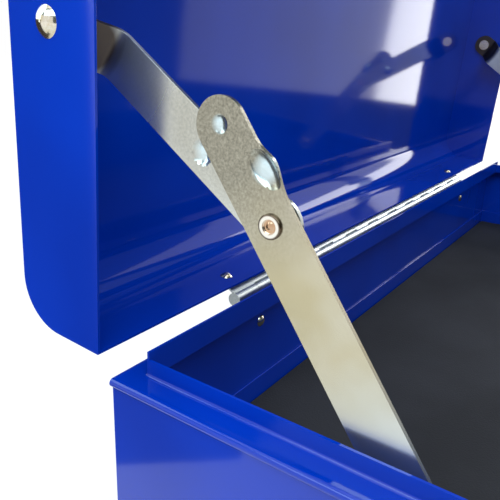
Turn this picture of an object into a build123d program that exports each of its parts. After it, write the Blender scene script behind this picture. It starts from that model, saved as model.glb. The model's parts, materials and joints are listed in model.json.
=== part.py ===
"""Portable steel tool box: three drawers, a lined top tray and a piano-hinged lid on two folding stays.

The lid stands open. X runs across the box, the front looks along -Y, Z is up, and the origin is the
middle of the underside. Lengths are millimetres, angles are degrees. "Left" is the -X side.
"""
import os
from math import asin, atan2, cos, degrees, hypot, radians, sin, sqrt

from build123d import *

os.makedirs("parts", exist_ok=True)

# ---- Body ----
box_width = 523.0
box_depth = 266.0
sheet = 1.0  # painted sheet of body, lid and drawers
ledge = 9.0  # ledge that the lid shuts on, outer face to upstand
ledge_bend = 1.4  # inside the fold from ledge to upstand
end_upstand = 6.7
rear_upstand = 10.0
bead_radius = 1.7  # rolled edge along the ledge
bead_proud = 1.6
front_return = 6.0  # narrow return at the front edge of each end wall
base_flange = 12.0
tray_depth = 56.0  # ledge to liner
tray_sill = 3.0  # front panel below the tray floor
tray_flange = 11.0  # upturned edge of the tray floor, above the liner
liner = 2.0
liner_gap = 0.5

# ---- Drawers, top to bottom ----
drawer_heights = (50.0, 50.0, 68.0)
drawer_gap = 2.0  # round every drawer front
front_fold = 8.0  # folded edges of a drawer front
pan_drop = 10.0  # pan below the top of its front
pan_lift = 2.0  # pan above the bottom of its front
pan_rear_gap = 8.0
pan_side_gap = 12.0  # end wall to pan, where the runner sits
lip_width = 5.8  # pan lip that rides in the runner
runner_sheet = 1.2
runner_slot = 3.2
runner_pan_gap = 1.0
slide_gap = 0.3
pull_reach = 11.0
pull_height = 14.0
pull_lip = 7.0
pull_sheet = 1.4
pull_bend = 2.5
pull_inset = 8.0

# ---- Lid ----
lid_height = 42.2
lid_gap = 1.05  # lid rim above the ledge when shut
lid_corner = 19.5
lid_open = 87.0

# ---- Piano hinge ----
hinge_length = 355.0
hinge_setback = 6.65  # pin behind the rear wall
knuckle_count = 21
knuckle_gap = 0.3
hinge_pin_radius = 2.35
leaf_sheet = 1.0
leaf_crank = 6.0  # pin height to the bend of a leaf
leaf_drop = 21.0
hinge_rivet_count = 2
body_rivet_drop = 13.5
body_rivet_end = 12.6
lid_rivet_rise = 9.1  # above the lid rim
lid_rivet_end = 6.0

# ---- Lid stays ----
stay_sheet = 1.5
stay_wall_gap = 14.0  # outer face of the box to the lower link
stay_link_gap = 0.6
stay_lid_reach = 113.8  # rear wall to the rivet on the lid, lid shut
stay_lid_rise = 22.65  # lid rim to that rivet
stay_body_reach = 114.6
stay_body_drop = 14.4
lower_length = 100.0
stay_elbow = 19.66  # bend left between the links when open
upper_width = 17.5
upper_eye = 9.4  # round end of the upper link, about the elbow
lower_width = 18.4
lower_tail = 33.75  # pivot to the centre of the rounded end
joggle_start = 7.5
joggle_slope = 60.0
joggle_bend = 4.5
dimple_radius = 4.4
dimple_depth = 1.5
upper_dimple = 33.3
upper_dimple_aside = 1.1  # below the middle of the strip
lower_dimple = 34.3
lower_dimple_radius = 3.4
lower_dimple_depth = 0.9
lower_dimple_rise = 0.3
stop_along = 15.2  # oval stop dimple on the lower link, from the elbow
stop_aside = 7.4
stop_lean = -8.0
stop_bulge_length = 12.8
stop_bulge_width = 6.6
stop_rise = 1.9
stop_dent_length = 14.4
stop_dent_width = 8.0
stop_ear_start = 3.5  # the pressing has pushed the edge out from here, measured from the elbow
stop_ear_top = 16.5
stop_ear_end = 25.0
stop_ear_proud = 2.1

# ---- Rivets ----
fit = 0.05
hole_depth = 8.0  # more than any stack of thin sheets
hinge_shank = 1.6
hinge_head = 3.0
hinge_head_rise = 1.6
tail_rise = 0.8
stay_shank = 2.5
stay_head = 5.2
stay_head_rise = 2.4
stay_tail = 4.5
stay_tail_rise = 1.0
spacer_radius = 5.0
pivot_head = 4.0
pivot_head_rise = 0.9
pivot_dish = 2.4
pivot_dish_depth = 0.7
pivot_pip = 1.5
pivot_pip_rise = 0.45
pivot_collar = 4.5

# ---- Draw latches ----
latch_spacing = 300.0
latch_sheet = 1.2
latch_swing = 120.0  # lever, released to latched
loop_lean = 40.0  # loop away from upright, released
latch_drop = 18.0  # ledge to lever pivot
latch_stand = 6.5  # front panel to lever pivot
loop_pivot_in = 1.0
loop_pivot_drop = 6.0
loop_wire = 1.25
loop_width = 15.0
loop_length = 38.0
loop_bend = 2.6
barrel_wall = 1.2
barrel_gap = 0.4
lever_width = 22.4
lever_length = 34.0
lever_notch = 3.0
lever_root = 6.0  # barrel's tongue, where it joins the lever
lever_shoulder = 9.0  # end of the side flanges' taper
lever_eye = 3.2
lever_hook = 5.0
latch_pin = 1.5
latch_pin_head = 2.6
ear_gap = 0.4
ear_eye = 4.0
latch_base_height = 30.0
latch_base_border = 4.0
latch_corner = 3.0
keeper_width = 28.0
keeper_height = 16.0
keeper_low = 3.5  # keeper plate above the lid rim
keeper_lip = 5.0
latch_rivet = 1.6
latch_rivet_head = 2.8
latch_rivet_rise = 1.2

# ---- Carrying handle ----
handle_span = 110.0  # between the arms
handle_reach = 32.0
handle_rod = 3.5
handle_bend = 7.0
handle_pin = 22.0  # turned-out end of the bail, held in a spot-welded saddle
handle_stand = 7.8  # lid top to bail pivot
grip_radius = 7.0
grip_length = 84.0
grip_round = 2.0
saddle_width = 12.0
saddle_length = 40.0
saddle_sheet = 2.0
saddle_gap = 0.3
saddle_inset = 8.0  # bail arm to saddle

# ---- Places worked out from the sizes ----
half_width = box_width / 2
half_depth = box_depth / 2
opening_bottom = base_flange + drawer_gap
opening_top = opening_bottom + sum(drawer_heights) + drawer_gap * (len(drawer_heights) - 1)
panel_bottom = opening_top + drawer_gap
floor_bottom = panel_bottom + tray_sill
ledge_z = floor_bottom + sheet + liner + tray_depth
bead_bottom = ledge_z - 2 * bead_radius
panel_half = half_width - ledge  # front panel's own ledge, between those of the end walls
inner_half = half_width - sheet
inner_rear = half_depth - sheet
hinge_y = half_depth + hinge_setback
lid_rear = -hinge_setback
lid_front = lid_rear - box_depth
lid_top = lid_gap + lid_height
knuckle_radius = hinge_pin_radius + fit + leaf_sheet
lower_in = stay_wall_gap + stay_sheet
upper_out = lower_in + stay_link_gap
upper_in = upper_out + stay_sheet


def across(x, y=0.0, z=0.0, turn=0.0):
    """Plane square to X. Local x points to the rear, turned up by turn, and local y points up."""
    return Plane(origin=(x, y, z), x_dir=(0, cos(radians(turn)), sin(radians(turn))), z_dir=(1, 0, 0))


def facing(x, y, z, turn):
    """Plane with local x along X that faces the rear, turned up by turn."""
    return Plane(origin=(x, y, z), x_dir=(1, 0, 0), z_dir=(0, cos(radians(turn)), sin(radians(turn))))


def turned(centre, u, v, turn):
    """The point that lies u behind and v above centre, after a turn about X."""
    along, up = cos(radians(turn)), sin(radians(turn))
    return centre[0] + u * along - v * up, centre[1] + u * up + v * along


def lid_at(u, v):
    """Where the point u behind and v above the hinge pin on the shut lid stands on the open lid."""
    return turned((hinge_y, ledge_z), u, v, -lid_open)


def lid_side(x):
    return across(x, hinge_y, ledge_z, -lid_open)


def lid_face(x, u, v, turn):
    return facing(x, *lid_at(u, v), turn - lid_open)


def spread(count, end_gap, length):
    """Even places along X, the outer ones end_gap from the ends of length."""
    pitch = (length - 2 * end_gap) / (count - 1)
    return [end_gap - length / 2 + i * pitch for i in range(count)]


def fold(points, thickness, bend=0.0, side=Side.LEFT):
    """Section of a folded sheet along a line of points, drawn in the open sketch."""
    with BuildLine() as outline:
        if bend:
            FilletPolyline(*points, radius=bend)
        else:
            Polyline(*points)
        offset(amount=thickness, side=side)
    make_face(outline.edges())


def cap(radius, rise, mode=Mode.ADD):
    """Round cap standing on the local XY plane."""
    ball = (radius**2 + rise**2) / (2 * rise)
    with Locations((0, 0, rise - ball)):
        Sphere(ball, arc_size1=degrees(asin((ball - rise) / ball)), arc_size2=90, align=None, mode=mode)


def oval_cap(length, width, rise):
    """Low oval dome standing on the XY plane, longer along X."""
    with BuildPart() as made:
        cap(width / 2, rise)
    return scale(made.part, by=(length / width, 1, 1))


def rivet(shank, head, rise, grip, tail):
    """Rivet along Z: its domed head stands on the XY plane and the stack that it grips lies below."""
    with BuildPart() as made:
        cap(head, rise)
        Cylinder(shank, grip, align=(Align.CENTER, Align.CENTER, Align.MAX))
        with Locations((0, 0, -grip)):
            Cylinder(tail, tail_rise, align=(Align.CENTER, Align.CENTER, Align.MAX))
    return made.part


def save(piece, name):
    piece.part.label = name
    export_step(piece.part, f"parts/{name}.step")


def save_pair(piece, name):
    """Write a left-hand piece and its mirror image."""
    save(piece, name + "_left")
    with BuildPart() as other:
        mirror(piece.part, about=Plane.YZ)
    save(other, name + "_right")


# ---- Stay pivots at rest, as (y, z) ----
lid_pivot = lid_at(lid_rear - stay_lid_reach, lid_gap + stay_lid_rise)
body_pivot = (half_depth - stay_body_reach, ledge_z - stay_body_drop)
pivot_span = hypot(lid_pivot[0] - body_pivot[0], lid_pivot[1] - body_pivot[1])
elbow_side = lower_length * sin(radians(stay_elbow))
upper_length = sqrt(pivot_span**2 - elbow_side**2) - lower_length * cos(radians(stay_elbow))
span_turn = degrees(atan2(lid_pivot[1] - body_pivot[1], lid_pivot[0] - body_pivot[0]))
lower_turn = span_turn + degrees(asin(upper_length * sin(radians(stay_elbow)) / pivot_span))
upper_turn = lower_turn - stay_elbow
elbow = turned(body_pivot, lower_length, 0, lower_turn)
print("stay: lid rivet", lid_pivot, "elbow", elbow, "body rivet", body_pivot)
print("stay: upper length", round(upper_length, 3), "turns", round(upper_turn, 3), round(lower_turn, 3))

# ---- Places of rivets ----
hinge_body_x = spread(hinge_rivet_count, body_rivet_end, hinge_length)
hinge_lid_x = spread(hinge_rivet_count, lid_rivet_end, hinge_length)
hinge_body_spots = [facing(x, inner_rear, ledge_z - body_rivet_drop, 180) for x in hinge_body_x]
hinge_lid_spots = [lid_face(x, lid_rear - sheet, lid_gap + lid_rivet_rise, 180) for x in hinge_lid_x]
stay_lid_spot = Plane(origin=(-half_width, *lid_pivot), z_dir=(-1, 0, 0))
stay_body_spot = Plane(origin=(-half_width, *body_pivot), z_dir=(-1, 0, 0))
stay_body_other = Plane(origin=(half_width, *body_pivot), z_dir=(1, 0, 0))
handle_mid = lid_rear - box_depth / 2
saddle_x = handle_span / 2 + saddle_inset + saddle_width / 2
latch_x = latch_spacing / 2
lever_pivot = (-half_depth - latch_stand, ledge_z - latch_drop)
ear_inner = lever_width / 2 + ear_gap
latch_base_width = 2 * (ear_inner + latch_sheet + latch_base_border)
latch_base_z = lever_pivot[1] + ear_eye - latch_base_height / 2
latch_rivet_z = latch_base_z - latch_base_height / 2 + latch_base_border
latch_rivet_x = latch_base_width / 2 - latch_base_border
latch_spots = [
    facing(side * latch_x + way * latch_rivet_x, -half_depth - latch_sheet, latch_rivet_z, 180)
    for side in (-1, 1)
    for way in (-1, 1)
]
keeper_rivet_x = keeper_width / 2 - latch_base_border
keeper_mid = lid_gap + keeper_low + keeper_height / 2
keeper_spots = [
    lid_face(side * latch_x + way * keeper_rivet_x, lid_front - latch_sheet, keeper_mid, 180)
    for side in (-1, 1)
    for way in (-1, 1)
]


def holes(spots, radius):
    """Clear holes for rivets, through whatever thin sheet the open part has at each spot."""
    with Locations(*spots):
        Cylinder(radius + fit, hole_depth, mode=Mode.SUBTRACT)


def front_bead():
    """Section of the rolled edge along the front of the ledge."""
    with Locations((bead_radius - bead_proud - half_depth, ledge_z - bead_radius)):
        Circle(bead_radius)
    with Locations((sheet - half_depth, ledge_z - bead_radius)):
        Rectangle(
            bead_radius, 2 * bead_radius, align=(Align.MIN, Align.CENTER), mode=Mode.SUBTRACT
        )


def fold_root(foot, out):
    """Section of the rounded fold where an upstand rises from the ledge at foot; the ledge lies on its out side."""
    with Locations((foot + out * ledge_bend / 2, ledge_z + ledge_bend / 2)):
        Rectangle(ledge_bend, ledge_bend)
    with Locations((foot + out * ledge_bend, ledge_z + ledge_bend)):
        Circle(ledge_bend, mode=Mode.SUBTRACT)


# ---- Cabinet shell: end walls and rear wall in one, with ledge, upstand and rolled bead ----
with BuildPart() as cabinet_shell:
    with BuildSketch():
        Rectangle(box_width, box_depth)
        with Locations((0, -sheet)):
            Rectangle(2 * inner_half, box_depth, mode=Mode.SUBTRACT)
    extrude(amount=ledge_z)
    with BuildSketch(Plane.XY.offset(ledge_z - sheet)):
        Rectangle(box_width, box_depth)
        with Locations((0, -ledge)):
            Rectangle(box_width - 2 * ledge, box_depth, mode=Mode.SUBTRACT)
    extrude(amount=sheet)
    with BuildSketch(Plane.XY.offset(ledge_z - sheet)):
        for side in (-1, 1):
            with Locations((side * (half_width - ledge - sheet / 2), 0)):
                Rectangle(sheet, box_depth - 2 * ledge)
    extrude(amount=sheet + end_upstand)
    with BuildSketch(Plane.XY.offset(ledge_z - sheet)):
        with Locations((0, half_depth - ledge - sheet / 2)):
            Rectangle(box_width - 2 * ledge, sheet)
    extrude(amount=sheet + rear_upstand)
    with BuildSketch(Plane.XZ.offset(-half_depth)):
        for side in (-1, 1):
            with Locations((side * (half_width + bead_proud - bead_radius), ledge_z - bead_radius)):
                Circle(bead_radius)
        with Locations((0, ledge_z - bead_radius)):
            Rectangle(2 * inner_half, 2 * bead_radius, mode=Mode.SUBTRACT)
    extrude(amount=box_depth)
    for start in (-half_width, panel_half):
        with BuildSketch(Plane.YZ.offset(start)):
            front_bead()
        extrude(amount=half_width - panel_half)
    with BuildSketch(Plane.XZ.offset(half_depth - sheet)):
        for side in (-1, 1):
            with Locations((side * (half_width - front_return / 2), panel_bottom / 2)):
                Rectangle(front_return, panel_bottom)
    extrude(amount=sheet)
    with BuildSketch(Plane.XZ.offset(ledge - half_depth)):
        for side in (-1, 1):
            fold_root(side * panel_half, side)
    extrude(amount=box_depth - 2 * ledge)
    with BuildSketch(Plane.YZ.offset(-panel_half)):
        fold_root(half_depth - ledge, 1)
    extrude(amount=2 * panel_half)
    holes(hinge_body_spots, hinge_shank)
    holes([stay_body_spot, stay_body_other], stay_shank)
save(cabinet_shell, "cabinet_shell")

# ---- Base plate: bottom sheet with its edges turned up; the front edge is the bottom rail ----
with BuildPart() as base_plate:
    with BuildSketch():
        Rectangle(2 * inner_half, 2 * inner_rear)
    extrude(amount=sheet)
    with BuildSketch(Plane.XY):
        Rectangle(2 * inner_half, 2 * inner_rear)
        with Locations((0, -sheet)):
            Rectangle(2 * (inner_half - sheet), 2 * inner_rear, mode=Mode.SUBTRACT)
    extrude(amount=base_flange)
    with BuildSketch():
        with Locations((0, sheet / 2 - half_depth)):
            Rectangle(box_width - 2 * front_return, sheet)
    extrude(amount=base_flange)
save(base_plate, "base_plate")

# ---- Front panel: closes the tray at the front, with its own ledge, upstand and bead ----
with BuildPart() as front_panel:
    with BuildSketch(Plane.XZ.offset(half_depth - sheet)):
        with Locations((0, panel_bottom)):
            Rectangle(2 * inner_half, bead_bottom - panel_bottom, align=(Align.CENTER, Align.MIN))
            Rectangle(2 * panel_half, ledge_z - panel_bottom, align=(Align.CENTER, Align.MIN))
    extrude(amount=sheet)
    with BuildSketch(Plane.XY.offset(ledge_z - sheet)):
        with Locations((0, ledge / 2 - half_depth)):
            Rectangle(2 * panel_half, ledge)
    extrude(amount=sheet)
    with BuildSketch(Plane.XY.offset(ledge_z - sheet)):
        with Locations((0, ledge + sheet / 2 - half_depth)):
            Rectangle(2 * (panel_half - sheet), sheet)
    extrude(amount=sheet + end_upstand)
    with BuildSketch(Plane.YZ.offset(-panel_half)):
        front_bead()
    extrude(amount=2 * panel_half)
    with BuildSketch(Plane.YZ.offset(-panel_half)):
        fold_root(ledge - half_depth, -1)
    extrude(amount=2 * panel_half)
    holes(latch_spots, latch_rivet)
save(front_panel, "front_panel")

# ---- Tray floor and its foam liner ----
with BuildPart() as tray_floor:
    with BuildSketch(Plane.XY.offset(floor_bottom)):
        Rectangle(2 * inner_half, 2 * inner_rear)
    extrude(amount=sheet)
    with BuildSketch(Plane.XY.offset(floor_bottom)):
        Rectangle(2 * inner_half, 2 * inner_rear)
        Rectangle(2 * (inner_half - sheet), 2 * (inner_rear - sheet), mode=Mode.SUBTRACT)
    extrude(amount=sheet + liner + tray_flange)
save(tray_floor, "tray_floor")

with BuildPart() as tray_liner:
    with BuildSketch(Plane.XY.offset(floor_bottom + sheet)):
        Rectangle(2 * (inner_half - sheet - liner_gap), 2 * (inner_rear - sheet - liner_gap))
    extrude(amount=liner)
save(tray_liner, "tray_liner")

# ---- Drawers: pan with side lips, folded front, hooked pull and liner ----
pan_half = inner_half - pan_side_gap
front_half = half_width - front_return - drawer_gap
pan_front = sheet - half_depth
pan_rear = inner_rear - pan_rear_gap
pan_mid = (pan_front + pan_rear) / 2
pan_length = pan_rear - pan_front
pan_tops = []
front_top = opening_top
for number, height in enumerate(drawer_heights, start=1):
    front_bottom = front_top - height
    pan_top = front_top - pan_drop
    pan_bottom = front_bottom + pan_lift
    pan_tops.append(pan_top)

    with BuildPart() as pan:
        with BuildSketch(Plane.XY.offset(pan_bottom)):
            with Locations((0, pan_mid)):
                Rectangle(2 * pan_half, pan_length)
        extrude(amount=pan_top - pan_bottom)
        with BuildSketch(Plane.XY.offset(pan_bottom + sheet)):
            with Locations((0, pan_mid)):
                Rectangle(2 * (pan_half - sheet), pan_length - 2 * sheet)
        extrude(amount=pan_top - pan_bottom, mode=Mode.SUBTRACT)
        with BuildSketch(Plane.XY.offset(pan_top - sheet)):
            for side in (-1, 1):
                with Locations((side * (pan_half + lip_width / 2), pan_mid)):
                    Rectangle(lip_width, pan_length)
        extrude(amount=sheet)
    save(pan, f"drawer_{number}_pan")

    with BuildPart() as front:
        with BuildSketch(Plane.YZ.offset(-front_half)):
            fold(
                [
                    (front_fold - half_depth, front_bottom),
                    (-half_depth, front_bottom),
                    (-half_depth, front_top),
                    (front_fold - half_depth, front_top),
                ],
                sheet,
                side=Side.RIGHT,
            )
        extrude(amount=2 * front_half)
    save(front, f"drawer_{number}_front")

    with BuildPart() as pull:
        with BuildSketch(Plane.YZ.offset(pull_inset - front_half)):
            fold(
                [
                    (-half_depth, front_top - sheet - pull_height),
                    (-half_depth, front_top - sheet),
                    (-half_depth - pull_reach, front_top - sheet),
                    (-half_depth - pull_reach, front_top - sheet - pull_lip),
                ],
                pull_sheet,
                bend=pull_bend,
            )
        extrude(amount=2 * (front_half - pull_inset))
    save(pull, f"drawer_{number}_pull")

    with BuildPart() as mat:
        with BuildSketch(Plane.XY.offset(pan_bottom + sheet)):
            with Locations((0, pan_mid)):
                Rectangle(2 * (pan_half - sheet - liner_gap), pan_length - 2 * (sheet + liner_gap))
        extrude(amount=liner)
    save(mat, f"drawer_{number}_liner")
    front_top = front_bottom - drawer_gap

# ---- Runners: channels on the end walls that hold the pan lips ----
with BuildPart() as runners:
    for pan_top in pan_tops:
        low = pan_top - sheet - slide_gap - runner_sheet
        with BuildSketch(Plane.XZ.offset(half_depth - sheet - drawer_gap)):
            leg_tip = -pan_half - runner_pan_gap
            fold(
                [
                    (leg_tip, low),
                    (-inner_half, low),
                    (-inner_half, low + runner_slot + 2 * runner_sheet),
                    (leg_tip, low + runner_slot + 2 * runner_sheet),
                ],
                runner_sheet,
                side=Side.RIGHT,
            )
        extrude(amount=-(box_depth - 2 * (sheet + drawer_gap)))
save_pair(runners, "runners")

# ---- Piano hinge: two cranked leaves that take turns along one pin ----
knuckle_pitch = hinge_length / knuckle_count


def hinge_leaf(plane, way, first, spots):
    """Full-length leaf on one side of the pin, cleared where the other leaf has its knuckles."""
    with BuildPart() as leaf:
        with BuildSketch(plane):
            fold(
                [
                    (-hinge_setback, way * leaf_drop),
                    (-hinge_setback, way * leaf_crank),
                    (-knuckle_radius, 0),
                ],
                leaf_sheet,
                side=Side.RIGHT if way < 0 else Side.LEFT,
            )
            Circle(knuckle_radius)
            Circle(hinge_pin_radius + fit, mode=Mode.SUBTRACT)
        extrude(amount=hinge_length)
        for index in range(first, knuckle_count, 2):
            with BuildSketch(plane.offset(index * knuckle_pitch - knuckle_gap / 2)):
                Circle(knuckle_radius + 2 * knuckle_gap)
            extrude(amount=knuckle_pitch + knuckle_gap, mode=Mode.SUBTRACT)
        holes(spots, hinge_shank)
    return leaf


hinge_leaf_body = hinge_leaf(across(-hinge_length / 2, hinge_y, ledge_z), -1, 0, hinge_body_spots)
hinge_leaf_lid = hinge_leaf(lid_side(-hinge_length / 2), 1, 1, hinge_lid_spots)
save(hinge_leaf_body, "hinge_leaf_body")
save(hinge_leaf_lid, "hinge_leaf_lid")

with BuildPart() as hinge_pin:
    with BuildSketch(across(-hinge_length / 2, hinge_y, ledge_z)):
        Circle(hinge_pin_radius)
    extrude(amount=hinge_length)
save(hinge_pin, "hinge_pin")

hinge_rivet = rivet(hinge_shank, hinge_head, hinge_head_rise, sheet + leaf_sheet, hinge_head)
with BuildPart() as hinge_rivets_body:
    with Locations(*hinge_body_spots):
        add(hinge_rivet)
save(hinge_rivets_body, "hinge_rivets_body")

with BuildPart() as hinge_rivets_lid:
    with Locations(*hinge_lid_spots):
        add(hinge_rivet)
save(hinge_rivets_lid, "hinge_rivets_lid")

# ---- Lid: one sheet wrapped over rear, top and front, closed by two end panels ----
with BuildPart() as lid_wrap:
    with BuildSketch(lid_side(-inner_half)):
        fold(
            [(lid_rear, lid_gap), (lid_rear, lid_top), (lid_front, lid_top), (lid_front, lid_gap)],
            sheet,
            bend=lid_corner,
        )
    extrude(amount=2 * inner_half)
    holes(hinge_lid_spots, hinge_shank)
    holes(keeper_spots, latch_rivet)
save(lid_wrap, "lid_wrap")

with BuildPart() as lid_end:
    with BuildSketch(lid_side(-half_width)):
        with BuildLine():
            FilletPolyline(
                (lid_rear, lid_gap),
                (lid_rear, lid_top),
                (lid_front, lid_top),
                (lid_front, lid_gap),
                radius=lid_corner,
            )
            Line((lid_front, lid_gap), (lid_rear, lid_gap))
        make_face()
    extrude(amount=sheet)
    holes([stay_lid_spot], stay_shank)
save_pair(lid_end, "lid_end")

# ---- Stay, upper link: joggled strip from the lid's end panel to the elbow ----
upper_half = upper_width / 2
tab_in = sheet + slide_gap
to_elbow = (0, -cos(radians(upper_turn)), -sin(radians(upper_turn)))
joggle_run = (upper_out - tab_in) / sin(radians(joggle_slope)) * cos(radians(joggle_slope))
upper_plan = across(-half_width, *lid_pivot, upper_turn + 180)
with BuildPart() as stay_upper:
    strip_section = Plane(
        origin=(-half_width, *lid_pivot), x_dir=to_elbow, z_dir=(0, to_elbow[2], -to_elbow[1])
    )
    with BuildSketch(strip_section.offset(-upper_eye)):
        fold(
            [
                (-upper_half, tab_in),
                (joggle_start, tab_in),
                (joggle_start + joggle_run, upper_out),
                (upper_length + upper_eye, upper_out),
            ],
            stay_sheet,
            bend=joggle_bend,
        )
    extrude(amount=2 * upper_eye)
    with BuildSketch(upper_plan):
        with Locations((upper_length / 2, 0)):
            Rectangle(upper_length, upper_width)
        Circle(upper_half)
        with Locations((upper_length, 0)):
            Circle(upper_eye)
        with Locations((0, 0), (upper_length, 0)):
            Circle(stay_shank + fit, mode=Mode.SUBTRACT)
    extrude(amount=upper_in, mode=Mode.INTERSECT)
    dimple_place = Location((upper_length - upper_dimple, upper_dimple_aside, 0))
    with Locations(upper_plan.offset(upper_in) * dimple_place):
        cap(dimple_radius, dimple_depth)
    with Locations(upper_plan.offset(upper_out) * dimple_place):
        cap(dimple_radius, dimple_depth, Mode.SUBTRACT)
save_pair(stay_upper, "stay_upper")

# ---- Stay, lower link: flat strip past the elbow, with the stop dimple that holds the lid open ----
lower_half = lower_width / 2
lower_plan = across(-half_width, *body_pivot, lower_turn)
lower_end = lower_length + lower_tail
ear_start = (lower_length + stop_ear_start, lower_half)
ear_top = (lower_length + stop_ear_top, lower_half + stop_ear_proud)
ear_end = (lower_length + stop_ear_end, lower_half)
stop_place = Location((lower_length + stop_along, stop_aside, 0), (0, 0, stop_lean))
stop_bulge = oval_cap(stop_bulge_length, stop_bulge_width, stop_rise)
stop_dent = oval_cap(stop_dent_length, stop_dent_width, dimple_depth)
with BuildPart() as stay_lower:
    with BuildSketch(lower_plan.offset(stay_wall_gap)):
        with BuildLine():
            Line((0, lower_half), ear_start)
            Spline(ear_start, ear_top, ear_end, tangents=[(1, 0), (1, 0)])
            Line(ear_end, (lower_end, lower_half))
            RadiusArc((lower_end, lower_half), (lower_end, -lower_half), lower_half)
            Line((lower_end, -lower_half), (0, -lower_half))
            RadiusArc((0, -lower_half), (0, lower_half), lower_half)
        make_face()
        with Locations((lower_length, 0)):
            Circle(stay_shank + fit, mode=Mode.SUBTRACT)
    extrude(amount=stay_sheet)
    with Locations(lower_plan.offset(lower_in) * stop_place):
        add(stop_bulge)
    with Locations(lower_plan.offset(stay_wall_gap) * stop_place):
        add(stop_dent, mode=Mode.SUBTRACT)
    with Locations(lower_plan.offset(lower_in) * Location((lower_length + lower_dimple, 0, 0))):
        cap(lower_dimple_radius, lower_dimple_rise)
    with Locations(lower_plan.offset(stay_wall_gap) * Location((lower_length + lower_dimple, 0, 0))):
        cap(lower_dimple_radius, lower_dimple_depth, Mode.SUBTRACT)
save_pair(stay_lower, "stay_lower")

# ---- Stay rivets and the spacer that brings the lower link clear of the upstand ----
with BuildPart() as stay_lid_rivet:
    with Locations(stay_lid_spot):
        cap(stay_head, stay_head_rise)
        Cylinder(stay_shank, tab_in + stay_sheet + fit, align=(Align.CENTER, Align.CENTER, Align.MAX))
    with Locations(stay_lid_spot.offset(-tab_in - stay_sheet - fit)):
        Cylinder(stay_tail, stay_tail_rise, align=(Align.CENTER, Align.CENTER, Align.MAX))
save_pair(stay_lid_rivet, "stay_lid_rivet")

with BuildPart() as stay_body_rivet:
    with Locations(stay_body_spot):
        cap(stay_head, stay_head_rise)
        Cylinder(stay_shank, stay_wall_gap - slide_gap, align=(Align.CENTER, Align.CENTER, Align.MAX))
save_pair(stay_body_rivet, "stay_body_rivet")

with BuildPart() as stay_spacer:
    with Locations(stay_body_spot.offset(-sheet)):
        Cylinder(spacer_radius, stay_wall_gap - slide_gap - sheet, align=(Align.CENTER, Align.CENTER, Align.MAX))
        Cylinder(
            stay_shank + fit,
            stay_wall_gap - slide_gap - sheet,
            align=(Align.CENTER, Align.CENTER, Align.MAX),
            mode=Mode.SUBTRACT,
        )
save_pair(stay_spacer, "stay_spacer")

with BuildPart() as stay_foot_head:
    with Locations(lower_plan.offset(lower_in)):
        cap(stay_tail, stay_tail_rise)
save_pair(stay_foot_head, "stay_foot_head")

elbow_face = Plane(origin=(stay_wall_gap - fit - half_width, *elbow), z_dir=(-1, 0, 0))
with BuildPart() as stay_elbow_rivet:
    with BuildSketch(elbow_face):
        Circle(pivot_head)
    extrude(amount=pivot_head_rise)
    fillet(stay_elbow_rivet.edges().filter_by(GeomType.CIRCLE).sort_by(Axis.X)[0], pivot_head_rise / 2)
    with BuildSketch(elbow_face.offset(pivot_head_rise)):
        Circle(pivot_dish)
    extrude(amount=-pivot_dish_depth, mode=Mode.SUBTRACT)
    with Locations(elbow_face.offset(pivot_head_rise - pivot_dish_depth)):
        cap(pivot_pip, pivot_pip_rise)
    with BuildSketch(across(stay_wall_gap - fit - half_width, *elbow)):
        Circle(stay_shank)
    extrude(amount=upper_in + fit - stay_wall_gap + fit)
    with BuildSketch(across(lower_in + fit - half_width, *elbow)):
        Circle(pivot_collar)
    extrude(amount=stay_link_gap - 2 * fit)
    with BuildSketch(across(upper_in + fit - half_width, *elbow)):
        Circle(stay_tail)
    extrude(amount=stay_tail_rise)
save_pair(stay_elbow_rivet, "stay_elbow_rivet")

# ---- Draw latches, released: base with ears, lever, wire loop and the keeper on the lid ----
loop_pivot = turned(lever_pivot, loop_pivot_in, -loop_pivot_drop, -latch_swing)
barrel_radius = loop_wire + fit + barrel_wall
flange_in = lever_width / 2 - latch_sheet
barrel_half = loop_width / 2 - loop_bend - barrel_gap
lever_plane = across(-latch_x, *lever_pivot, -latch_swing)
ear_plane = across(-latch_x, *lever_pivot)
with BuildPart() as latch_base:
    with BuildSketch(facing(-latch_x, -half_depth, latch_base_z, 180)):
        RectangleRounded(latch_base_width, latch_base_height, latch_corner)
    extrude(amount=latch_sheet)
    for start in (-ear_inner - latch_sheet, ear_inner):
        with BuildSketch(ear_plane.offset(start)):
            Circle(ear_eye)
            with Locations((latch_stand / 2, 0)):
                Rectangle(latch_stand, 2 * ear_eye)
            Circle(latch_pin + fit, mode=Mode.SUBTRACT)
        extrude(amount=latch_sheet)
    holes(latch_spots, latch_rivet)
save_pair(latch_base, "latch_base")

with BuildPart() as latch_lever:
    plate_u = loop_pivot_in + barrel_radius
    with BuildSketch(lever_plane.offset(-lever_width / 2)):
        fold(
            [
                (plate_u, -loop_pivot_drop - lever_notch),
                (plate_u, -lever_length),
                (plate_u - lever_hook, -lever_length - lever_hook),
            ],
            barrel_wall,
            side=Side.RIGHT,
        )
    extrude(amount=lever_width)
    with BuildSketch(lever_plane.offset(-barrel_half)):
        fold(
            [(plate_u, -loop_pivot_drop), (plate_u, -loop_pivot_drop - lever_root)],
            barrel_wall,
            side=Side.RIGHT,
        )
        with Locations((loop_pivot_in, -loop_pivot_drop)):
            Circle(barrel_radius)
            Circle(loop_wire + fit, mode=Mode.SUBTRACT)
    extrude(amount=2 * barrel_half)
    for start in (-lever_width / 2, flange_in):
        with BuildSketch(lever_plane.offset(start)):
            with BuildLine():
                Polyline(
                    (plate_u, -loop_pivot_drop - lever_shoulder),
                    (plate_u, -lever_eye / 2),
                    (-lever_eye, 0),
                    (-lever_eye, -lever_eye),
                    (plate_u - barrel_wall, -loop_pivot_drop - lever_shoulder),
                    close=True,
                )
            make_face()
            Circle(lever_eye)
            Circle(latch_pin + fit, mode=Mode.SUBTRACT)
        extrude(amount=latch_sheet)
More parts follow.
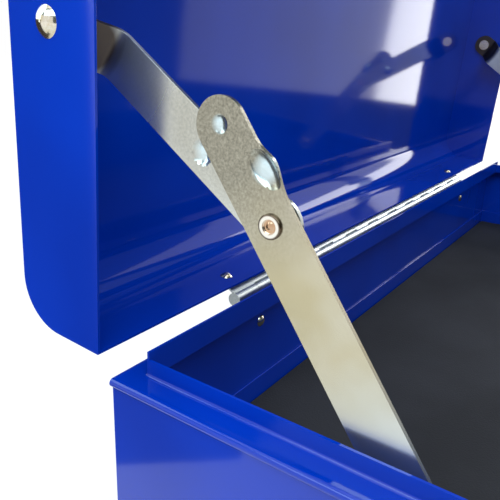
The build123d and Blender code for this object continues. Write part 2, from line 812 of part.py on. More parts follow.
save_pair(latch_lever, "latch_lever")

with BuildPart() as latch_loop:
    loop_plane = facing(-latch_x, *loop_pivot, loop_lean + 180)
    half_loop = loop_width / 2
    with BuildLine(loop_plane):
        FilletPolyline(
            (-half_loop, 0),
            (-half_loop, loop_length),
            (half_loop, loop_length),
            (half_loop, 0),
            radius=loop_bend,
            close=True,
        )
    with BuildSketch(across(-latch_x, *loop_pivot)):
        Circle(loop_wire)
    sweep()
save_pair(latch_loop, "latch_loop")

with BuildPart() as latch_pins:
    for start, turn in ((-ear_inner - latch_sheet - fit, 1), (ear_inner + latch_sheet + fit, -1)):
        with BuildSketch(ear_plane.offset(start - turn * latch_sheet)):
            Circle(latch_pin_head)
        extrude(amount=turn * latch_sheet)
        with BuildSketch(ear_plane.offset(start)):
            Circle(latch_pin)
        extrude(amount=turn * (2 * latch_sheet + ear_gap + 2 * fit))
save_pair(latch_pins, "latch_pins")

latch_rivets_part = rivet(latch_rivet, latch_rivet_head, latch_rivet_rise, latch_sheet + sheet, latch_rivet_head)
with BuildPart() as latch_rivets:
    with Locations(*latch_spots):
        add(latch_rivets_part)
save(latch_rivets, "latch_rivets")

keeper_shelf = loop_length - latch_drop - loop_pivot_drop - loop_wire - slide_gap
with BuildPart() as latch_keeper:
    with BuildSketch(lid_face(-latch_x, lid_front, keeper_mid, 180)):
        RectangleRounded(keeper_width, keeper_height, latch_corner)
    extrude(amount=latch_sheet)
    with BuildSketch(lid_side(-latch_x - barrel_half)):
        wire_out = lid_front - latch_stand + loop_pivot_in
        fold(
            [
                (lid_front, keeper_shelf),
                (wire_out - loop_wire - slide_gap, keeper_shelf),
                (wire_out - loop_wire - slide_gap, keeper_shelf + keeper_lip),
            ],
            latch_sheet,
            side=Side.LEFT,
        )
    extrude(amount=2 * barrel_half)
    holes(keeper_spots, latch_rivet)
save_pair(latch_keeper, "latch_keeper")

with BuildPart() as keeper_rivets:
    with Locations(*keeper_spots):
        add(latch_rivets_part)
save(keeper_rivets, "keeper_rivets")

# ---- Carrying handle on the lid: bail with a moulded grip, held by two saddles ----
handle_pivot = lid_at(handle_mid, lid_top + handle_stand)
half_span = handle_span / 2
with BuildPart() as handle_bail:
    bail_plane = facing(0, *handle_pivot, 90 - lid_open)
    with BuildLine(bail_plane):
        FilletPolyline(
            (-half_span - handle_pin, 0),
            (-half_span, 0),
            (-half_span, handle_reach),
            (half_span, handle_reach),
            (half_span, 0),
            (half_span + handle_pin, 0),
            radius=handle_bend,
        )
    with BuildSketch(across(-half_span - handle_pin, *handle_pivot)):
        Circle(handle_rod)
    sweep()
save(handle_bail, "handle_bail")

grip_centre = lid_at(handle_mid + handle_reach, lid_top + handle_stand)
with BuildPart() as handle_grip:
    with BuildSketch(across(-grip_length / 2, *grip_centre)):
        Circle(grip_radius)
    extrude(amount=grip_length)
    fillet(handle_grip.edges(), grip_round)
    with BuildSketch(across(-grip_length / 2, *grip_centre)):
        Circle(handle_rod + fit)
    extrude(amount=grip_length, mode=Mode.SUBTRACT)
save(handle_grip, "handle_grip")

with BuildPart() as handle_saddle:
    saddle_bore = handle_rod + saddle_gap
    with BuildSketch(lid_side(-saddle_x - saddle_width / 2)):
        with Locations((handle_mid, lid_top + handle_stand)):
            Circle(saddle_bore + saddle_sheet)
        with Locations((handle_mid, lid_top + handle_stand / 2)):
            Rectangle(2 * (saddle_bore + saddle_sheet), handle_stand)
        with Locations((handle_mid, lid_top + saddle_sheet / 2)):
            Rectangle(saddle_length, saddle_sheet)
        with Locations((handle_mid, lid_top + handle_stand)):
            Circle(saddle_bore, mode=Mode.SUBTRACT)
        with Locations((handle_mid, lid_top + handle_stand / 2)):
            Rectangle(2 * saddle_bore, handle_stand, mode=Mode.SUBTRACT)
    extrude(amount=saddle_width)
save_pair(handle_saddle, "handle_saddle")
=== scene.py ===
"""Portable steel tool box with three drawers, standing open: finishes, edges, light and camera."""
import json
import math

import bpy
from mathutils import Matrix, Vector

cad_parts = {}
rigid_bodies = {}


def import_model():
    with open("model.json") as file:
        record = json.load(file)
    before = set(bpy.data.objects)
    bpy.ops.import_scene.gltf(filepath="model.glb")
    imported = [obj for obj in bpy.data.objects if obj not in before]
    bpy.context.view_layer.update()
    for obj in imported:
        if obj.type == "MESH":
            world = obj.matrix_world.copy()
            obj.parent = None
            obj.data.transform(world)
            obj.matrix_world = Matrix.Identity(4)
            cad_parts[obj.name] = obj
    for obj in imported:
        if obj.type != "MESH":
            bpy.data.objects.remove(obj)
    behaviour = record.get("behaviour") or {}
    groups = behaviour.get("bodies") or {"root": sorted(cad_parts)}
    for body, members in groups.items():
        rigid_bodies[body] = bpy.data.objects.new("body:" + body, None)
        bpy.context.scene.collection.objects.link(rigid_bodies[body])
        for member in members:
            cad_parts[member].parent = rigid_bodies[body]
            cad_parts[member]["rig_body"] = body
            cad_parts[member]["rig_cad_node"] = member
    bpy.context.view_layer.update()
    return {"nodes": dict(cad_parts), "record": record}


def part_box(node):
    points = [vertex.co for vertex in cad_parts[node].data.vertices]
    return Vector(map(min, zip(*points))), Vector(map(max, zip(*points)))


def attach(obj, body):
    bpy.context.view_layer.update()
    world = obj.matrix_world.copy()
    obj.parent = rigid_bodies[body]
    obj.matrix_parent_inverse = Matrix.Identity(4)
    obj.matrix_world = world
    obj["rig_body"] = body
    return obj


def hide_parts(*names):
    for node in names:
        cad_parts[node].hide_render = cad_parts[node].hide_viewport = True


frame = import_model()
nodes = frame["nodes"]

# ---- Painted sheet: cabinet, base, front panel and tray ----
# Pressed from 1 mm steel sheet, folded and spot-welded, then coated in a blue gloss enamel.
# The paint rounds the cut edges and pools a little, so every edge carries a fine bright line.
MM = 0.001
SHEET_EDGE = 0.28 * MM
PAINT_BLUE = "#0036AF"
PAINT_DEEP = "#002E9D"
SPRAY_CLOUD = 90 * MM
ORANGE_PEEL = 14 * MM
BARELY_BENT = math.radians(0.5)
FOLDED = math.radians(35)
STILL_SMOOTH = math.radians(40)
body_of = {node: body for body, members in frame["record"]["behaviour"]["bodies"].items() for node in members}
slot_of = {part["node"]: part["material_slot"] for part in frame["record"]["subparts"]}


def linear(code):
    """Linear colour of an sRGB hex value."""
    parts = [int(code[i:i + 2], 16) / 255 for i in (1, 3, 5)]
    return (*(c / 12.92 if c <= 0.04045 else ((c + 0.055) / 1.055) ** 2.4 for c in parts), 1.0)


def add_node(material, kind, links=None, **settings):
    """A shader node with its settings. links gives, by input name, the output that feeds it."""
    tree = material.node_tree
    node = tree.nodes.new(kind)
    for name, value in settings.items():
        if name in node.inputs:
            node.inputs[name].default_value = value
        elif name.replace("_", " ").title() in node.inputs:
            node.inputs[name.replace("_", " ").title()].default_value = value
        else:
            setattr(node, name, value)
    for name, output in (links or {}).items():
        tree.links.new(output, node.inputs[name])
    return node


def new_material(name):
    """An empty material with its output, its principled shader and object coordinates."""
    material = bpy.data.materials.new(name)
    material.use_nodes = True
    material.node_tree.nodes.clear()
    output = add_node(material, "ShaderNodeOutputMaterial")
    shader = add_node(material, "ShaderNodeBsdfPrincipled")
    material.node_tree.links.new(shader.outputs[0], output.inputs[0])
    place = add_node(material, "ShaderNodeTexCoord").outputs["Object"]
    return material, shader, place


def feed(material, shader, **sources):
    """Links outputs to the shader's sockets."""
    for name, output in sources.items():
        material.node_tree.links.new(output, shader.inputs[name.replace("_", " ")])


def noise(material, place, size, detail=3.0, rough=0.5, kind="ShaderNodeTexNoise"):
    """Noise whose blotches are about size metres across."""
    made = add_node(material, kind, {"Vector": place}, Scale=1 / size)
    if kind == "ShaderNodeTexNoise":
        made.inputs["Detail"].default_value = detail
        made.inputs["Roughness"].default_value = rough
    return made.outputs[0]


def ramp(material, source, low, high, to_low, to_high):
    """Values from low to high, stretched to go from to_low to to_high."""
    settings = {"From Min": low, "From Max": high, "To Min": to_low, "To Max": to_high}
    made = add_node(material, "ShaderNodeMapRange", {"Value": source})
    for name, value in settings.items():
        made.inputs[name].default_value = value
    return made.outputs[0]


def blend_colours(material, factor, first, second):
    """A colour between two, by factor. Each is a colour or the output that gives it."""
    made = add_node(material, "ShaderNodeMix", {"Factor": factor}, data_type="RGBA")
    for name, shade in (("A", first), ("B", second)):
        if isinstance(shade, bpy.types.NodeSocket):
            material.node_tree.links.new(shade, made.inputs[name])
        else:
            made.inputs[name].default_value = shade
    return made.outputs["Result"]


def blotched(material, pattern, spread, first, second):
    """Two hex colours that take turns as a noise swings by spread about its middle."""
    turn = ramp(material, pattern, 0.5 - spread, 0.5 + spread, 0, 1)
    return blend_colours(material, turn, linear(first), linear(second))


def enamel():
    """Baked gloss enamel: deep blue under a clear skin, with the faint ripple of sprayed paint."""
    material, shader, place = new_material("baked_gloss_enamel_blue")
    cloud = noise(material, place, SPRAY_CLOUD, 2.0)
    shade = blotched(material, cloud, 0.15, PAINT_BLUE, PAINT_DEEP)
    shader.inputs["Roughness"].default_value = 0.07
    shader.inputs["IOR"].default_value = 1.5
    ripple = noise(material, place, ORANGE_PEEL, 1.0)
    bump = add_node(material, "ShaderNodeBump", {"Height": ripple}, Strength=0.04, Distance=0.2 * MM)
    feed(material, shader, Base_Color=shade, Normal=bump.outputs[0])
    return material


def paint(piece, material):
    """Gives a piece one material all over."""
    piece.data.materials.clear()
    piece.data.materials.append(material)


def deselect():
    """Leaves edit mode and selects nothing."""
    if bpy.context.object and bpy.context.object.mode != "OBJECT":
        bpy.ops.object.mode_set(mode="OBJECT")
    bpy.ops.object.select_all(action="DESELECT")


def eased(node, edge, material, steps=2):
    """A copy of a pressed or cut piece with its edges rounded, which stands for the sharp one."""
    deselect()
    piece = nodes[node].copy()
    piece.data = nodes[node].data.copy()
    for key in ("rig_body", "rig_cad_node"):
        del piece[key]
    piece.parent = None
    piece.name = node + "_eased"
    bpy.context.scene.collection.objects.link(piece)
    bpy.context.view_layer.objects.active = piece
    piece.select_set(True)
    bpy.ops.object.mode_set(mode="EDIT")
    bpy.ops.mesh.customdata_custom_splitnormals_clear()
    bpy.ops.mesh.select_all(action="SELECT")
    bpy.ops.mesh.remove_doubles(threshold=0.002 * MM)
    bpy.ops.mesh.dissolve_limited(angle_limit=BARELY_BENT)
    bpy.ops.object.mode_set(mode="OBJECT")
    bevel = piece.modifiers.new("edge", "BEVEL")
    bevel.width = edge
    bevel.segments = steps
    bevel.limit_method = "ANGLE"
    bevel.angle_limit = FOLDED
    bpy.ops.object.modifier_apply(modifier="edge")
    bpy.ops.object.shade_smooth_by_angle(angle=STILL_SMOOTH)
    flats = piece.modifiers.new("flats", "WEIGHTED_NORMAL")
    flats.keep_sharp = True
    flats.weight = 100
    bpy.ops.object.modifier_apply(modifier="flats")
    paint(piece, material)
    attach(piece, body_of[node])
    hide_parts(node)


blue = enamel()
for node in ("cabinet_shell", "base_plate", "front_panel", "tray_floor"):
    eased(node, SHEET_EDGE, blue)

# ---- Foam liners ----
# A sheet of closed-cell foam lies in the tray and in each drawer, cut a little short of the walls.
# The cut cells make it matt and charcoal, with a fine grain and a slow drift in tone.
FOAM_DARK = "#202023"
FOAM_PALE = "#2B2B2F"
FOAM_CELL = 0.9 * MM
FOAM_DRIFT = 60 * MM
FOAM_EDGE = 0.5 * MM


def foam():
    """Closed-cell foam: matt, with a fine open grain that the light only just picks up."""
    material, shader, place = new_material("closed_cell_foam_charcoal")
    cells = noise(material, place, FOAM_CELL, kind="ShaderNodeTexVoronoi")
    drift = noise(material, place, FOAM_DRIFT, 3.0)
    shade = blotched(material, drift, 0.15, FOAM_DARK, FOAM_PALE)
    shader.inputs["Roughness"].default_value = 0.82
    shader.inputs["Specular IOR Level"].default_value = 0.35
    bump = add_node(material, "ShaderNodeBump", {"Height": cells}, Strength=0.5, Distance=0.25 * MM)
    feed(material, shader, Base_Color=shade, Normal=bump.outputs[0])
    return material


charcoal = foam()
for node in ("tray_liner", "drawer_1_liner", "drawer_2_liner", "drawer_3_liner"):
    eased(node, FOAM_EDGE, charcoal)

# ---- Drawers ----
# Each is a folded pan in the same enamel, welded to a folded front, with a hooked pull along the top.
# The pulls are drawn aluminium, satin anodised, with fine lines along their length.
PULL_EDGE = 0.2 * MM
for number in (1, 2, 3):
    eased(f"drawer_{number}_pan", SHEET_EDGE, blue)
    eased(f"drawer_{number}_front", SHEET_EDGE, blue)


def anodised():
    """Satin anodised aluminium: pale and even, with drawing lines about 1 mm apart along X."""
    material, shader, place = new_material("satin_anodised_aluminium")
    lines = add_node(material, "ShaderNodeMapping", {"Vector": place}, Scale=(2.0, 900.0, 900.0)).outputs[0]
    streak = noise(material, lines, 1.0, 2.0)
    shader.inputs["Metallic"].default_value = 1.0
    shader.inputs["Base Color"].default_value = linear("#C9CBCE")
    bump = add_node(material, "ShaderNodeBump", {"Height": streak}, Strength=0.12, Distance=0.03 * MM)
    rough = ramp(material, streak, 0.3, 0.7, 0.24, 0.36)
    feed(material, shader, Roughness=rough, Normal=bump.outputs[0])
    return material


satin = anodised()
for number in (1, 2, 3):
    eased(f"drawer_{number}_pull", PULL_EDGE, satin)

# ---- Runners ----
# Channels bent from galvanised strip, riveted to the end walls behind the drawers.
# The zinc has set in pale and dark spangles a few millimetres across.
SIDES = ("left", "right")
SPANGLE = 4 * MM
RUNNER_EDGE = 0.2 * MM


def galvanised():
    """Hot-dip zinc: flat grey crystals, each with a slightly different shine."""
    material, shader, place = new_material("hot_dip_zinc_spangle")
    crystal = add_node(material, "ShaderNodeTexVoronoi", {"Vector": place}, Scale=1 / SPANGLE).outputs["Color"]
    value = add_node(material, "ShaderNodeSeparateColor", {"Color": crystal}).outputs[0]
    shader.inputs["Metallic"].default_value = 1.0
    shade = blend_colours(material, value, linear("#A3A7AB"), linear("#C3C6C8"))
    feed(material, shader, Base_Color=shade, Roughness=ramp(material, value, 0, 1, 0.3, 0.5))
    return material


spangle = galvanised()
for side in SIDES:
    eased(f"runners_{side}", RUNNER_EDGE, spangle)

# ---- Piano hinge ----
# Two leaves of thin strip rolled round one pin, zinc plated to a cold bluish white.
# They keep the shape of the frame; only the finish is added.
HANDLING_BLOTCH = 18 * MM


def bright_zinc(name, pale, dark, rough_low, rough_high, grain):
    """Electroplated zinc: bright, a little mottled by handling, with a faint warm or cold tint."""
    material, shader, place = new_material(name)
    mottle = noise(material, place, grain, 6.0, 0.7)
    broad = noise(material, place, HANDLING_BLOTCH, 2.0)
    shade = blotched(material, mottle, 0.12, pale, dark)
    shader.inputs["Metallic"].default_value = 1.0
    bump = add_node(material, "ShaderNodeBump", {"Height": mottle}, Strength=0.06, Distance=0.05 * MM)
    rough = ramp(material, broad, 0.35, 0.65, rough_low, rough_high)
    feed(material, shader, Base_Color=shade, Roughness=rough, Normal=bump.outputs[0])
    return material


cold_zinc = bright_zinc("electroplated_zinc_cold", "#DDE4E4", "#CBD3D2", 0.3, 0.4, 1.2 * MM)
for node in ("hinge_leaf_body", "hinge_leaf_lid", "hinge_pin"):
    paint(nodes[node], cold_zinc)

# ---- Lid ----
# One steel sheet wrapped over rear, top and front in round bends, with a plain rim.
# Two flat end panels are welded in to close it, and all is coated in the same enamel.
eased("lid_wrap", SHEET_EDGE, blue)
for side in SIDES:
    eased(f"lid_end_{side}", SHEET_EDGE, blue)

# ---- Lid stays ----
# Two links of zinc-plated strip, blanked, joggled and dimpled in a press. They are dull and speckled
# where they rub on each other, dull at the tight bend by the lid and painted dark there as shade, painted a
# pale bluish sheen near the foot, and shinier in the dimples, which are painted a bluish white for their
# glint.
# The two stays are marked alike, so the pattern reads only how far to the rear and how far up a point is.
STRIP_EDGE = 0.65 * MM
SPECKLE = 0.8 * MM
PLATING_BLOTCH = 22 * MM
RUB_CORE, RUB_REACH = 16 * MM, 52 * MM
# Reach of the painted shade at the bend, measured from the lid pivot.
BEND_SHADE_CORE, BEND_SHADE_REACH = 16 * MM, 20 * MM
DULL_CORE, DULL_REACH = 24 * MM, 46 * MM
# Reach of the painted pale sheen round the foot.
FOOT_SHEEN_CORE, FOOT_SHEEN_REACH = 14 * MM, 56 * MM
RUBBED_PALE, RUBBED_DARK = "#ACA999", "#807C6E"
# Colours: a painted shade at the bend by the lid, a painted pale bluish sheen by the foot, and a painted
# bluish-white glint in the dimples.
BEND_PAINTED_SHADE, FOOT_PAINTED_SHEEN, DIMPLE_PAINTED_GLINT = "#564D45", "#D4DCDE", "#D6E8EC"
ROUGH_DULL, ROUGH_STRIP, POLISH = 0.40, 0.24, -0.08


def middle_of(node):
    """The middle of a node's box."""
    low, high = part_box(node)
    return (Vector(low) + Vector(high)) / 2


elbow = middle_of("stay_elbow_rivet_left")
lid_pivot = middle_of("stay_lid_rivet_left")
foot = middle_of("stay_foot_head_left")
tip = elbow + (elbow - foot) * 0.34


def near(material, place, spot, inner, outer, most=1.0, least=0.0):
    """The value most within inner of a spot, seen along X, and the value least beyond outer."""
    shift = (0, -spot.y, -spot.z)
    flat = add_node(material, "ShaderNodeMapping", {"Vector": place}, Scale=(0, 1, 1), Location=shift)
    reach = add_node(material, "ShaderNodeVectorMath", {"Vector": flat.outputs[0]}, operation="LENGTH")
    return ramp(material, reach.outputs["Value"], inner, outer, most, least)


def along(start, end, reach, aside):
    """The point at a distance beyond start on the line from end to start, moved aside in the strip's plane."""
    course = (start - end).normalized()
    return start + course * reach + Vector((0, -course.z, course.y)) * aside


def summed(material, first, second):
    """The sum of two outputs."""
    made = add_node(material, "ShaderNodeMath", operation="ADD")
    material.node_tree.links.new(first, made.inputs[0])
    material.node_tree.links.new(second, made.inputs[1])
    return made.outputs[0]


def stay_zinc(name, pale_one, pale_two, rub, pressed):
    """Electroplated strip of two pale tones: rub of it is speckled where worn, and it is dull at the bend.
    It is painted dark near the lid pivot as shade, and painted a pale bluish sheen near the foot.

    pressed lists the dimples, as a spot and a radius: the punch has left them shinier than the flats,
    and they are painted a bluish white that stands in for their glint.
    """
    material, shader, place = new_material(name)
    speckle = noise(material, place, SPECKLE, 6.0, 0.7)
    broad = noise(material, place, PLATING_BLOTCH, 2.0)
    colour = blotched(material, broad, 0.15, pale_one, pale_two)
    grain = blotched(material, speckle, 0.15, RUBBED_PALE, RUBBED_DARK)
    # Painted sheen: the strip turns a pale bluish white near the foot, standing in for a reflection.
    painted_foot_sheen = near(material, place, foot, FOOT_SHEEN_CORE, FOOT_SHEEN_REACH)
    colour = blend_colours(material, painted_foot_sheen, colour, linear(FOOT_PAINTED_SHEEN))
    by_tip = near(material, place, tip, RUB_CORE, RUB_REACH, rub)
    colour = blend_colours(material, by_tip, colour, grain)
    # Painted shade: the strip turns dark brown near the lid pivot, standing in for the dark room that the bend
    # mirrors.
    painted_bend_shade = near(material, place, lid_pivot, BEND_SHADE_CORE, BEND_SHADE_REACH)
    colour = blend_colours(material, painted_bend_shade, colour, linear(BEND_PAINTED_SHADE))
    rough = near(material, place, lid_pivot, DULL_CORE, DULL_REACH, ROUGH_DULL, ROUGH_STRIP)
    for spot, radius in pressed:
        core = 0.4 * radius
        # Painted highlight: each dimple takes a bluish white for its glint; it is also made less rough, which
        # is the punch's real shine.
        colour = blend_colours(material, near(material, place, spot, core, radius), colour, linear(DIMPLE_PAINTED_GLINT))
        rough = summed(material, rough, near(material, place, spot, core, radius, POLISH))
    bump = add_node(material, "ShaderNodeBump", {"Height": speckle}, Strength=0.04, Distance=0.03 * MM)
    shader.inputs["Metallic"].default_value = 0.94
    feed(material, shader, Base_Color=colour, Normal=bump.outputs[0], Roughness=rough)
    return material


UPPER_DIMPLE = (along(elbow, 2 * elbow - lid_pivot, 33.3 * MM, -1.1 * MM), 4.2 * MM)
LOWER_DIMPLE = (along(elbow, foot, 34.3 * MM, 0), 3.2 * MM)
STOP_DIMPLE = (along(elbow, foot, 15.2 * MM, 7.4 * MM), 5.2 * MM)
cool_zinc = stay_zinc("cool_zinc_plated_strip", "#EBEFEA", "#DFE1D8", 0.6, [UPPER_DIMPLE])
warm_zinc = stay_zinc("warm_zinc_plated_strip", "#CDC5AF", "#C1B593", 1.0, [LOWER_DIMPLE, STOP_DIMPLE])
for side in SIDES:
    eased(f"stay_upper_{side}", STRIP_EDGE, cool_zinc, steps=3)
    eased(f"stay_lower_{side}", STRIP_EDGE, warm_zinc, steps=3)

# ---- Rivets, pins and spacers ----
# Steel wire, cold headed and zinc plated, set with a round punch.
# The smooth domes mirror the room and are brassy where the plating is thin.
rivet_zinc = bright_zinc("zinc_plated_rivet_steel", "#E4DECF", "#CDBE9E", 0.12, 0.2, 4 * MM)
for node in nodes:
    if slot_of[node] == "rivet_zinc":
        paint(nodes[node], rivet_zinc)

# ---- Elbow rivets ----
# Semi-tubular steel rivets that let the two links of a stay turn on each other.
# The punch that rolled their rims over has left the dish in the middle coppery.
DISH_RADIUS = 2.0 * MM
# Beyond these radii round the elbow the rivet is painted dark brown: a painted contact shadow round its rim.
RIM_SHADOW_START, RIM_SHADOW_END = 3.2 * MM, 3.6 * MM


def punched_zinc():
    """Rolled rivet rim: bright zinc with a copper-brown dish in the middle and a painted dark shadow line
    round the rim.
    """
    material, shader, place = new_material("punched_rivet_zinc_copper_and_painted_rim_shadow")
    # Painted shadow: dark brown outside the rim radius, bright zinc inside it.
    inside_rim_shadow = near(material, place, elbow, RIM_SHADOW_START, RIM_SHADOW_END)
    plate = blend_colours(material, inside_rim_shadow, linear("#6A5A4A"), linear("#F0EBE0"))
    by_dish = near(material, place, elbow, DISH_RADIUS, DISH_RADIUS + 0.5 * MM)
    shader.inputs["Metallic"].default_value = 1.0
    shader.inputs["Roughness"].default_value = 0.16
    feed(material, shader, Base_Color=blend_colours(material, by_dish, plate, linear("#C8A484")))
    return material


punched = punched_zinc()
for side in SIDES:
    paint(nodes[f"stay_elbow_rivet_{side}"], punched)

# ---- Draw latches and handle fittings ----
# Bases, levers, keepers and saddles are pressed from thin steel sheet, loops and bail bent from wire.
# All are nickel plated to a mirror that shows the soft ripple of the pressing.
FITTING_EDGE = 0.25 * MM
PRESSING_WAVE = 9 * MM


def nickel():
    """Bright nickel plate: a warm mirror with faint waves."""
    material, shader, place = new_material("bright_nickel_plate")
    wave = noise(material, place, PRESSING_WAVE, 1.0)
    shader.inputs["Metallic"].default_value = 1.0
    shader.inputs["Base Color"].default_value = linear("#D6D6D2")
    bump = add_node(material, "ShaderNodeBump", {"Height": wave}, Strength=0.08, Distance=0.2 * MM)
    feed(material, shader, Roughness=ramp(material, wave, 0.3, 0.7, 0.1, 0.16), Normal=bump.outputs[0])
    return material


plated = nickel()
for side in SIDES:
    for node in (f"latch_base_{side}", f"latch_lever_{side}", f"latch_keeper_{side}", f"handle_saddle_{side}"):
        eased(node, FITTING_EDGE, plated)
    paint(nodes[f"latch_loop_{side}"], plated)
paint(nodes["handle_bail"], plated)

# ---- Handle grip ----
# Black polypropylene, moulded as a sleeve round the middle of the bail.
# The mould was spark eroded, which leaves a fine grain on the sleeve.
MOULD_GRAIN = 0.6 * MM


def moulded():
    """Moulded polypropylene: black, with a fine grain that spreads the light."""
    material, shader, place = new_material("moulded_polypropylene_black")
    grain = noise(material, place, MOULD_GRAIN, 4.0, 0.6)
    shader.inputs["Base Color"].default_value = linear("#1B1B1D")
    shader.inputs["IOR"].default_value = 1.49
    bump = add_node(material, "ShaderNodeBump", {"Height": grain}, Strength=0.25, Distance=0.1 * MM)
    feed(material, shader, Roughness=ramp(material, grain, 0.3, 0.7, 0.4, 0.55), Normal=bump.outputs[0])
    return material


paint(nodes["handle_grip"], moulded())

# ---- Floor, light and camera ----
# A pale sheet under the box and a white room round it. Light Path shows both as white to the camera,
# to gloss and through glass, while the floor keeps the box's shadow.
FLOOR_SIZE = 14.0
SHADOW_SHARE = 0.4
SHADOW_REACH = 0.9
FLOOR_GLOW = 1.12  # makes up for the matt share, so that the bare floor is white


def white_surround(material):
    """One where the ray comes from the camera, a glossy surface or glass, and nought elsewhere."""
    path = add_node(material, "ShaderNodeLightPath")
    seen = path.outputs["Is Camera Ray"]
    for other in ("Is Glossy Ray", "Is Transmission Ray"):
        either = add_node(material, "ShaderNodeMath", operation="MAXIMUM")
        material.node_tree.links.new(seen, either.inputs[0])
        material.node_tree.links.new(path.outputs[other], either.inputs[1])
        seen = either.outputs[0]
    return seen


deselect()
bpy.ops.mesh.primitive_plane_add(size=FLOOR_SIZE, location=(0, 0, 0))
floor = bpy.context.object
floor.name = "floor"
floor_paint, shader, place = new_material("matt_white_floor")
shader.inputs["Base Color"].default_value = linear("#F2F2F2")
shader.inputs["Roughness"].default_value = 0.9
reach = add_node(floor_paint, "ShaderNodeVectorMath", {"Vector": place}, operation="LENGTH").outputs["Value"]
plain = ramp(floor_paint, reach, SHADOW_REACH, 2 * SHADOW_REACH, 1 - SHADOW_SHARE, 1)
glow = add_node(floor_paint, "ShaderNodeEmission", Strength=FLOOR_GLOW)
share = add_node(floor_paint, "ShaderNodeMath", operation="MULTIPLY")
lit = add_node(floor_paint, "ShaderNodeMixShader", {"Fac": share.outputs[0]})
link = floor_paint.node_tree.links.new
link(white_surround(floor_paint), share.inputs[0])
link(plain, share.inputs[1])
link(shader.outputs[0], lit.inputs[1])
link(glow.outputs[0], lit.inputs[2])
link(lit.outputs[0], floor_paint.node_tree.nodes["Material Output"].inputs[0])
paint(floor, floor_paint)

AMBIENT = (0.25, 0.28, 0.31, 1)
world = bpy.data.worlds.new("studio")
bpy.context.scene.world = world
world.use_nodes = True
background = world.node_tree.nodes["Background"]
sky = blend_colours(world, white_surround(world), AMBIENT, (1, 1, 1, 1))
world.node_tree.links.new(sky, background.inputs["Color"])
background.inputs["Strength"].default_value = 1.0


def soft_box(name, place, aim, width, height, radiance, colour=(1, 1, 1)):
    """A rectangular lamp of the given radiance, aimed at a point and unseen by the camera itself."""
    lamp = bpy.data.lights.new(name, "AREA")
    lamp.shape = "RECTANGLE"
    lamp.size = width
    lamp.size_y = height
    lamp.energy = radiance * math.pi * width * height
    lamp.color = colour
    box = bpy.data.objects.new(name, lamp)
    bpy.context.scene.collection.objects.link(box)
    box.location = place
    box.rotation_euler = (Vector(aim) - Vector(place)).to_track_quat("-Z", "Y").to_euler()
    box.visible_camera = False


def standing(first, last, low, high):
    """Middle, facing and size of an upright rectangle over the floor line from first to last."""
    middle = Vector(((first[0] + last[0]) / 2, (first[1] + last[1]) / 2, (low + high) / 2))
    foot_line = Vector((last[0] - first[0], last[1] - first[1], 0))
    return middle, foot_line.cross(Vector((0, 0, 1))).normalized(), foot_line.length, high - low


def window(name, first, last, low, high, radiance):
    """A soft box that stands like a tall window, first on its left as seen from the box."""
    middle, facing, width, height = standing(first, last, low, high)
    soft_box(name, middle, middle + facing, width, height, radiance)


def flag(name, place, facing, width, height, code):
    """A dark cloth that only gloss sees, which keeps a part of the room out of the paint."""
    deselect()
    bpy.ops.mesh.primitive_plane_add(size=1, location=place)
    cloth = bpy.context.object
    cloth.name = name
    cloth.scale = (width, height, 1)
    cloth.rotation_euler = Vector(facing).to_track_quat("Z", "Y").to_euler()
    grey, shader, _ = new_material(name + "_cloth")
    shader.inputs["Base Color"].default_value = (0, 0, 0, 1)
    shader.inputs["Specular IOR Level"].default_value = 0.0
    shader.inputs["Emission Color"].default_value = linear(code)
    shader.inputs["Emission Strength"].default_value = 1.0
    paint(cloth, grey)
    cloth.visible_camera = False
    cloth.visible_diffuse = False
    cloth.visible_shadow = False


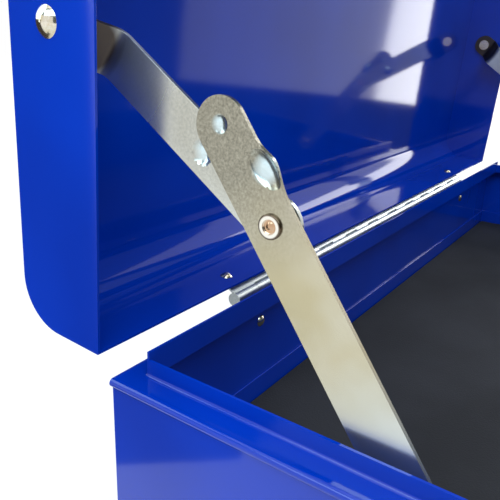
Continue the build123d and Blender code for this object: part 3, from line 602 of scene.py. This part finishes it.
# Two soft boxes stand like windows at the right, and three hang above, to the left and to the rear.
# Sizes, places and radiances are in metres and plain units, where a radiance of 1 is white.
RIGHT_END, RIGHT_MIDDLE, RIGHT_FRONT = (2.54, 0.06), (2.08, -0.675), (1.48, -1.27)
WINDOW_LOW, WINDOW_HIGH = 0.05, 2.0
STAY_LEVEL = (-0.22, 0.1, 0.3)
SKY_BLUE = (0.70, 0.88, 1.0)
window("window_right", RIGHT_END, RIGHT_MIDDLE, WINDOW_LOW, WINDOW_HIGH, 5.0)
window("window_front_right", RIGHT_MIDDLE, RIGHT_FRONT, WINDOW_LOW, WINDOW_HIGH, 0.9)
soft_box("overhead", (-0.1, 0.1, 2.3), (-0.1, 0.1, 0), 2.2, 2.2, 1.25)
soft_box("skylight_left", (-1.15, -0.3, 1.4), STAY_LEVEL, 2.6, 0.7, 4.6, SKY_BLUE)
soft_box("skylight_rear", (-0.72, 1.25, 1.0), (-0.24, 0.1, 0.32), 1.0, 1.3, 3.0, (0.74, 0.92, 1.0))

# The dark cloths: ceiling, table top, the walls behind the windows and in front, and the rear left,
# which the strips mirror. REAR_LEFT_TURN is where its tall part ends and its low part starts.
WALL_TURN = (1.7, -1.5)
REAR_LEFT_TURN = (-0.43, 0.332)
flag("flag_ceiling", (0, 0, 2.6), (0, 0, -1), 9, 9, "#8A969E")
flag("flag_table", (1.9, -1.2, 0.004), (0, 0, 1), 3.0, 2.6, "#3A3F44")
flag("flag_right", *standing((2.75, 0.15), WALL_TURN, 0, 2.6), "#30343A")
flag("flag_front", *standing(WALL_TURN, (-3.4, -1.6), 0, 2.6), "#5A6066")
flag("flag_rear_left", *standing(REAR_LEFT_TURN, (-0.10, 0.70), 0, 0.40), "#4A4440")
flag("flag_left_low", *standing((-0.51, 0.243), REAR_LEFT_TURN, 0, 0.13), "#7C8086")

# The camera stands close to the box's left end and looks over it to the rear right. Its place, turns
# and lens come from the straight edges of the body and the lid.
CAMERA_PLACE = (-0.390276, -0.013331, 0.369101)
YAW, PITCH, ROLL = 0.968, -0.342, 0.041
forward = Vector((math.sin(YAW) * math.cos(PITCH), math.cos(YAW) * math.cos(PITCH), math.sin(PITCH)))
level = forward.cross(Vector((0, 0, 1))).normalized()
upright = level.cross(forward)
right = level * math.cos(ROLL) + upright * math.sin(ROLL)
up = upright * math.cos(ROLL) - level * math.sin(ROLL)
camera = bpy.data.objects.new("camera", bpy.data.cameras.new("camera"))
bpy.context.scene.collection.objects.link(camera)
turn = Matrix((right, up, -forward)).transposed().to_4x4()
camera.matrix_world = Matrix.Translation(CAMERA_PLACE) @ turn
camera.data.lens = 42.85
camera.data.sensor_width = 36.0
camera.data.shift_x = 0.005
camera.data.clip_start = 0.01
bpy.context.scene.camera = camera
bpy.context.scene.view_settings.view_transform = "Standard"
